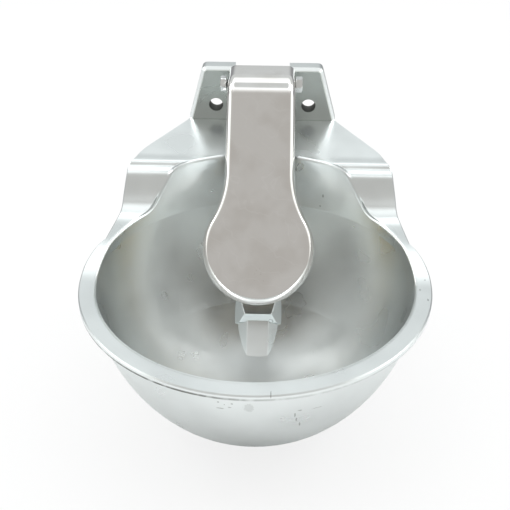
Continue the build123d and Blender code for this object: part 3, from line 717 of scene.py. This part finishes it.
class BOWL_OT_valve_finish(bpy.types.Operator):
    """Turned brass, rubber and stainless steel on the valve's pieces"""

    bl_idname = "bowl.valve_finish"
    bl_label = "Valve finish"

    def execute(self, context):
        look = context.scene.bowl_finish
        for label, colour, metallic, dull, nodes in (
            ("turned brass", look.brass, 1.0, 0.30,
             ("valve_body", "lock_nut", "outlet_cap", "washer_cup", "spring_retainer")),
            ("black rubber", look.rubber, 0.0, 0.62,
             ("front_gasket", "back_washer", "cap_gasket", "seat_washer")),
            ("stainless steel", (0.66, 0.66, 0.65), 1.0, 0.26,
             ("valve_stem", "stem_nut", "valve_spring", "retaining_clip", "inlet_strainer",
              "seat_nozzle")),
        ):
            made, tree, shader = start_material(label)
            where = add_node(tree, "ShaderNodeTexCoord").outputs["Object"]
            grain = place_group(
                tree, bpy.data.node_groups["surface grain"], Position=where,
                Grain_Scale=1300.0, Patch_Scale=90.0, Pit_Scale=700.0, Pit_Size=0.1,
            )
            darker = tuple(0.72 * part for part in colour)
            toned = tint(
                tree, band(tree, grain.outputs["Patches"], 0.4, 0.7), colour, darker
            )
            tree.links.new(toned, shader.inputs["Base Color"])
            tree.links.new(
                band(tree, grain.outputs["Patches"], 0.3, 0.7, dull - 0.08, dull + 0.1),
                shader.inputs["Roughness"],
            )
            shader.inputs["Metallic"].default_value = metallic
            bump = add_node(
                tree, "ShaderNodeBump", Strength=0.2, Distance=0.0001,
                Height=grain.outputs["Grain"],
            )
            tree.links.new(bump.outputs["Normal"], shader.inputs["Normal"])
            for name in nodes:
                dress(name, made)
        return {"FINISHED"}


# ---- Stage -----------------------------------------------------------------------
def soft_box(name, place, target, size, watts, height=None):
    """Rectangular area light that faces target."""
    data = bpy.data.lights.new(name, "AREA")
    data.shape = "RECTANGLE"
    data.size = size
    data.size_y = height or size
    data.energy = watts
    light = bpy.data.objects.new(name, data)
    bpy.context.scene.collection.objects.link(light)
    light.location = place
    light.rotation_mode = "QUATERNION"
    light.rotation_quaternion = (Vector(target) - Vector(place)).to_track_quat("-Z", "Y")
    return light


def view_axes(studio):
    """Directions of the camera: across, up and back."""
    back = Vector(studio.camera_back).normalized()
    level = Vector((-back.y, back.x, 0)).normalized()
    rise = back.cross(level)
    turn = studio.camera_roll
    return (
        cos(turn) * level + sin(turn) * rise, cos(turn) * rise - sin(turn) * level, back,
    )


def soft_room(studio):
    """World: a plain pale room, brighter above and at the sides, dimmer low down behind."""
    world = bpy.data.worlds.new("soft room")
    world.use_nodes = True
    tree = world.node_tree
    direction = add_node(tree, "ShaderNodeTexCoord").outputs["Generated"]
    axes = add_node(tree, "ShaderNodeSeparateXYZ", Vector=direction)
    behind = band(tree, axes.outputs["Y"], *BACK_BEGINS)
    room = tint(tree, behind, tuple(studio.room), tuple(studio.backdrop))
    lift = math_node(
        tree, "MULTIPLY", band(tree, axes.outputs["Z"], *CEILING_BEGINS),
        band(tree, axes.outputs["Y"], *CEILING_FRONT),
    )
    room = tint(tree, lift, room, tuple(studio.ceiling))
    overhead = band(tree, axes.outputs["Z"], *OVERHEAD_BEGINS)
    room = tint(tree, overhead, room, tuple(studio.backdrop))
    aside = math_node(tree, "ABSOLUTE", axes.outputs["X"])
    sideways = band(tree, aside, *CURTAINS_BEGIN)
    room = tint(tree, sideways, room, tuple(studio.curtains))
    low = math_node(
        tree, "MULTIPLY", band(tree, axes.outputs["Z"], *REAR_BELOW),
        band(tree, axes.outputs["Y"], *REAR_BEHIND),
    )
    room = tint(tree, low, room, tuple(studio.rear))

    # Seen straight on, the room is plain white behind the bowl
    path = add_node(tree, "ShaderNodeLightPath")
    seen = tint(tree, path.outputs["Is Camera Ray"], room, (1.0, 1.0, 1.0))
    background = tree.nodes["Background"]
    tree.links.new(seen, background.inputs["Color"])
    background.inputs["Strength"].default_value = 1.0
    return world


def pale_floor(studio):
    """Floor of pale paper under the bowl."""
    deselect()
    bpy.ops.mesh.primitive_plane_add(
        size=studio.floor_size, location=(0, 0, CAD_BOX[0].z - 0.5 * MM)
    )
    floor = bpy.context.active_object
    floor.name = "studio_floor"
    made, tree, shader = start_material("pale floor")
    shader.inputs["Roughness"].default_value = 0.9
    path = add_node(tree, "ShaderNodeLightPath")
    # Painted reflection: for glossy rays only, the floor is dimmer before and behind the bowl, so
    # what the metal mirrors there is darker
    place = add_node(tree, "ShaderNodeTexCoord").outputs["Object"]
    ahead = add_node(tree, "ShaderNodeSeparateXYZ", Vector=place).outputs["Y"]
    reflection_dim_reach = math_node(
        tree, "ADD", band(tree, ahead, *FLOOR_DIM_IN_REFLECTIONS_FRONT),
        band(tree, ahead, *FLOOR_DIM_IN_REFLECTIONS_BEHIND),
    )
    dim_in_reflections = math_node(tree, "MULTIPLY", reflection_dim_reach, path.outputs["Is Glossy Ray"])
    dim = tuple(REFLECTED_FLOOR_DIMMING * part for part in studio.floor)
    paper = tint(tree, dim_in_reflections, tuple(studio.floor), dim)
    tree.links.new(paper, shader.inputs["Base Color"])
    # Seen straight on, the floor glows a little, so it stays white like paper
    glow = add_node(tree, "ShaderNodeEmission", Color=(1.0, 1.0, 1.0, 1.0), Strength=1.0)
    share = math_node(tree, "MULTIPLY", path.outputs["Is Camera Ray"], studio.floor_glow)
    mixed = add_node(tree, "ShaderNodeMixShader", Fac=share)
    tree.links.new(shader.outputs["BSDF"], mixed.inputs[1])
    tree.links.new(glow.outputs["Emission"], mixed.inputs[2])
    tree.links.new(mixed.outputs["Shader"], tree.nodes["Material Output"].inputs["Surface"])
    floor.data.materials.append(made)
    return floor


def studio_camera(studio):
    """Camera at its place, turned and rolled as the studio says."""
    across, up, back = view_axes(studio)
    data = bpy.data.cameras.new("camera")
    data.lens = studio.lens
    data.sensor_width = 36.0
    data.clip_start = 0.01
    camera = bpy.data.objects.new("camera", data)
    bpy.context.scene.collection.objects.link(camera)
    turn = Matrix((across, up, back)).transposed()
    camera.matrix_world = Matrix.Translation(studio.camera_place) @ turn.to_4x4()
    return camera


class BOWL_OT_stage(bpy.types.Operator):
    """Pale floor, soft light and the camera"""

    bl_idname = "bowl.stage"
    bl_label = "Stage"

    def execute(self, context):
        studio = context.scene.bowl_studio
        floor = pale_floor(studio)

        centre = (CAD_BOX[0] + CAD_BOX[1]) / 2
        above = soft_box("top_light", (0.0, -0.15, 1.4), centre, 1.2, studio.top_watts)
        above.visible_glossy = False  # the ceiling itself is what the metal mirrors
        soft_box("left_light", (-0.95, 0.08, 0.85), centre, 0.5, studio.side_watts, 0.7)
        soft_box("right_light", (0.95, 0.08, 0.85), centre, 0.5, studio.side_watts, 0.7)
        context.scene.world = soft_room(studio)
        context.scene.view_settings.view_transform = "Standard"
        context.scene.camera = studio_camera(studio)
        return {"FINISHED"}


def thread_cutter(radius, pitch, turns, start):
    """Helical bar with a V section that cuts a thread; its axis is Z, from start up."""
    deselect()
    corner = pitch / sqrt(3)  # the V's corners from its middle
    bpy.ops.mesh.primitive_circle_add(
        vertices=3, radius=corner, location=(radius - 0.6 * pitch + corner, 0.0, start),
        rotation=(radians(90), radians(-90), 0.0),
    )
    cutter = bpy.context.active_object
    bpy.ops.object.transform_apply()
    screw = cutter.modifiers.new("screw", "SCREW")
    screw.axis = "Z"
    screw.screw_offset = 1.02 * pitch
    screw.iterations = turns
    screw.steps = screw.render_steps = 40
    bpy.ops.object.modifier_apply(modifier=screw.name)
    bpy.ops.object.mode_set(mode="EDIT")
    bpy.ops.mesh.select_all(action="SELECT")
    bpy.ops.mesh.remove_doubles(threshold=1e-7)
    bpy.ops.mesh.fill_holes(sides=0)
    bpy.ops.mesh.normals_make_consistent(inside=False)
    bpy.ops.object.mode_set(mode="OBJECT")
    return cutter


def merged_copy(node_name, name):
    """Active copy of a CAD node with its doubles merged."""
    deselect()
    piece = bpy.data.objects.new(name, NODES[node_name].data.copy())
    bpy.context.scene.collection.objects.link(piece)
    piece.select_set(True)
    bpy.context.view_layer.objects.active = piece
    bpy.ops.object.mode_set(mode="EDIT")
    bpy.ops.mesh.select_all(action="SELECT")
    bpy.ops.mesh.remove_doubles(threshold=1e-6)
    bpy.ops.object.mode_set(mode="OBJECT")
    return piece


def threaded_copy(node_name, axis_place, axis, body, threads):
    """Copy of a CAD node with threads cut in it, which stands for the node."""
    piece = merged_copy(node_name, f"{node_name}_threaded")
    turn = Vector(axis).to_track_quat("Z", "X")
    for radius, pitch, turns, start in threads:
        cutter = thread_cutter(radius, pitch, turns, start)
        cutter.rotation_mode = "QUATERNION"
        cutter.rotation_quaternion = turn
        cutter.location = axis_place
        bpy.ops.object.transform_apply()
        deselect()
        piece.select_set(True)
        bpy.context.view_layer.objects.active = piece
        cut = piece.modifiers.new("thread", "BOOLEAN")
        cut.operation = "DIFFERENCE"
        cut.solver = "EXACT"
        cut.object = cutter
        bpy.ops.object.modifier_apply(modifier=cut.name)
        bpy.data.objects.remove(cutter)
    bpy.ops.object.shade_smooth_by_angle(angle=radians(28))
    if not len(piece.data.polygons):
        raise RuntimeError(f"no thread could be cut in {node_name}")
    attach(piece, body)
    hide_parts(node_name)
    return piece


class BOWL_OT_shank_threads(bpy.types.Operator):
    """Pipe thread on the valve's tail, and the lock nut's thread in front of it"""

    bl_idname = "bowl.shank_threads"
    bl_label = "Shank threads"

    def execute(self, context):
        middle = INLET["dims"]["length_mm"] * MM / 2
        threaded_copy(
            "valve_body", INLET["pos_m"], INLET["axis"], "bowl",
            (
                (INLET["dims"]["r_mm"] * MM, PIPE_PITCH, PIPE_TURNS, -middle + PIPE_START),
                (SHANK_R, SHANK_PITCH, SHANK_TURNS, SHANK_START),
            ),
        )
        return {"FINISHED"}


class BOWL_OT_spring(bpy.types.Operator):
    """Copy of the valve spring with its doubles merged, smooth-shaded, on the bowl's body in place
    of the CAD spring
    """

    bl_idname = "bowl.spring"
    bl_label = "Spring"

    def execute(self, context):
        piece = merged_copy("valve_spring", "valve_spring_moving")
        bpy.ops.object.shade_smooth_by_angle(angle=radians(40))
        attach(piece, "bowl")
        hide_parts("valve_spring")
        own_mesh(piece)
        return {"FINISHED"}


class BOWL_OT_bolt_thread(bpy.types.Operator):
    """Thread on the end of the hinge bolt"""

    bl_idname = "bowl.bolt_thread"
    bl_label = "Bolt thread"

    def execute(self, context):
        end = (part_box("hinge_bolt")[1][0], HINGE.y, HINGE.z)
        threaded_copy(
            "hinge_bolt", end, (1.0, 0.0, 0.0), "bowl",
            ((BOLT_R, BOLT_PITCH, BOLT_TURNS, BOLT_START),),
        )
        return {"FINISHED"}


OPERATORS = (
    BOWL_OT_shank_threads,
    BOWL_OT_bolt_thread,
    BOWL_OT_spring,
    BOWL_OT_casting_finish,
    BOWL_OT_tongue_finish,
    BOWL_OT_fastener_finish,
    BOWL_OT_valve_finish,
    BOWL_OT_stage,
)


class BOWL_PT_panel(bpy.types.Panel):
    """Every step of the bowl, in order"""

    bl_idname = "BOWL_PT_panel"
    bl_label = "Drinking bowl"
    bl_space_type = "VIEW_3D"
    bl_region_type = "UI"
    bl_category = "Bowl"

    def draw(self, context):
        for owner in (context.scene.bowl_finish, context.scene.bowl_studio):
            for name in owner.__annotations__:
                self.layout.prop(owner, name)
        for operator in OPERATORS:
            self.layout.operator(operator.bl_idname)


CLASSES = (BowlFinish, BowlStudio, *OPERATORS, BOWL_PT_panel)


def register():
    """Makes the bowl's settings, steps and panel known."""
    for one in CLASSES:
        bpy.utils.register_class(one)
    bpy.types.Scene.bowl_finish = bpy.props.PointerProperty(type=BowlFinish)
    bpy.types.Scene.bowl_studio = bpy.props.PointerProperty(type=BowlStudio)


def unregister():
    """Takes them away again."""
    del bpy.types.Scene.bowl_studio
    del bpy.types.Scene.bowl_finish
    for one in reversed(CLASSES):
        bpy.utils.unregister_class(one)


def main():
    """Every step of the bowl, in order."""
    register()
    grain_group()
    scratch_group()
    mark_group()
    fold_group()
    bpy.ops.bowl.shank_threads()
    bpy.ops.bowl.bolt_thread()
    bpy.ops.bowl.spring()
    bpy.ops.bowl.casting_finish()
    bpy.ops.bowl.tongue_finish()
    bpy.ops.bowl.fastener_finish()
    bpy.ops.bowl.valve_finish()
    bpy.ops.bowl.stage()


if __name__ == "__main__":
    main()
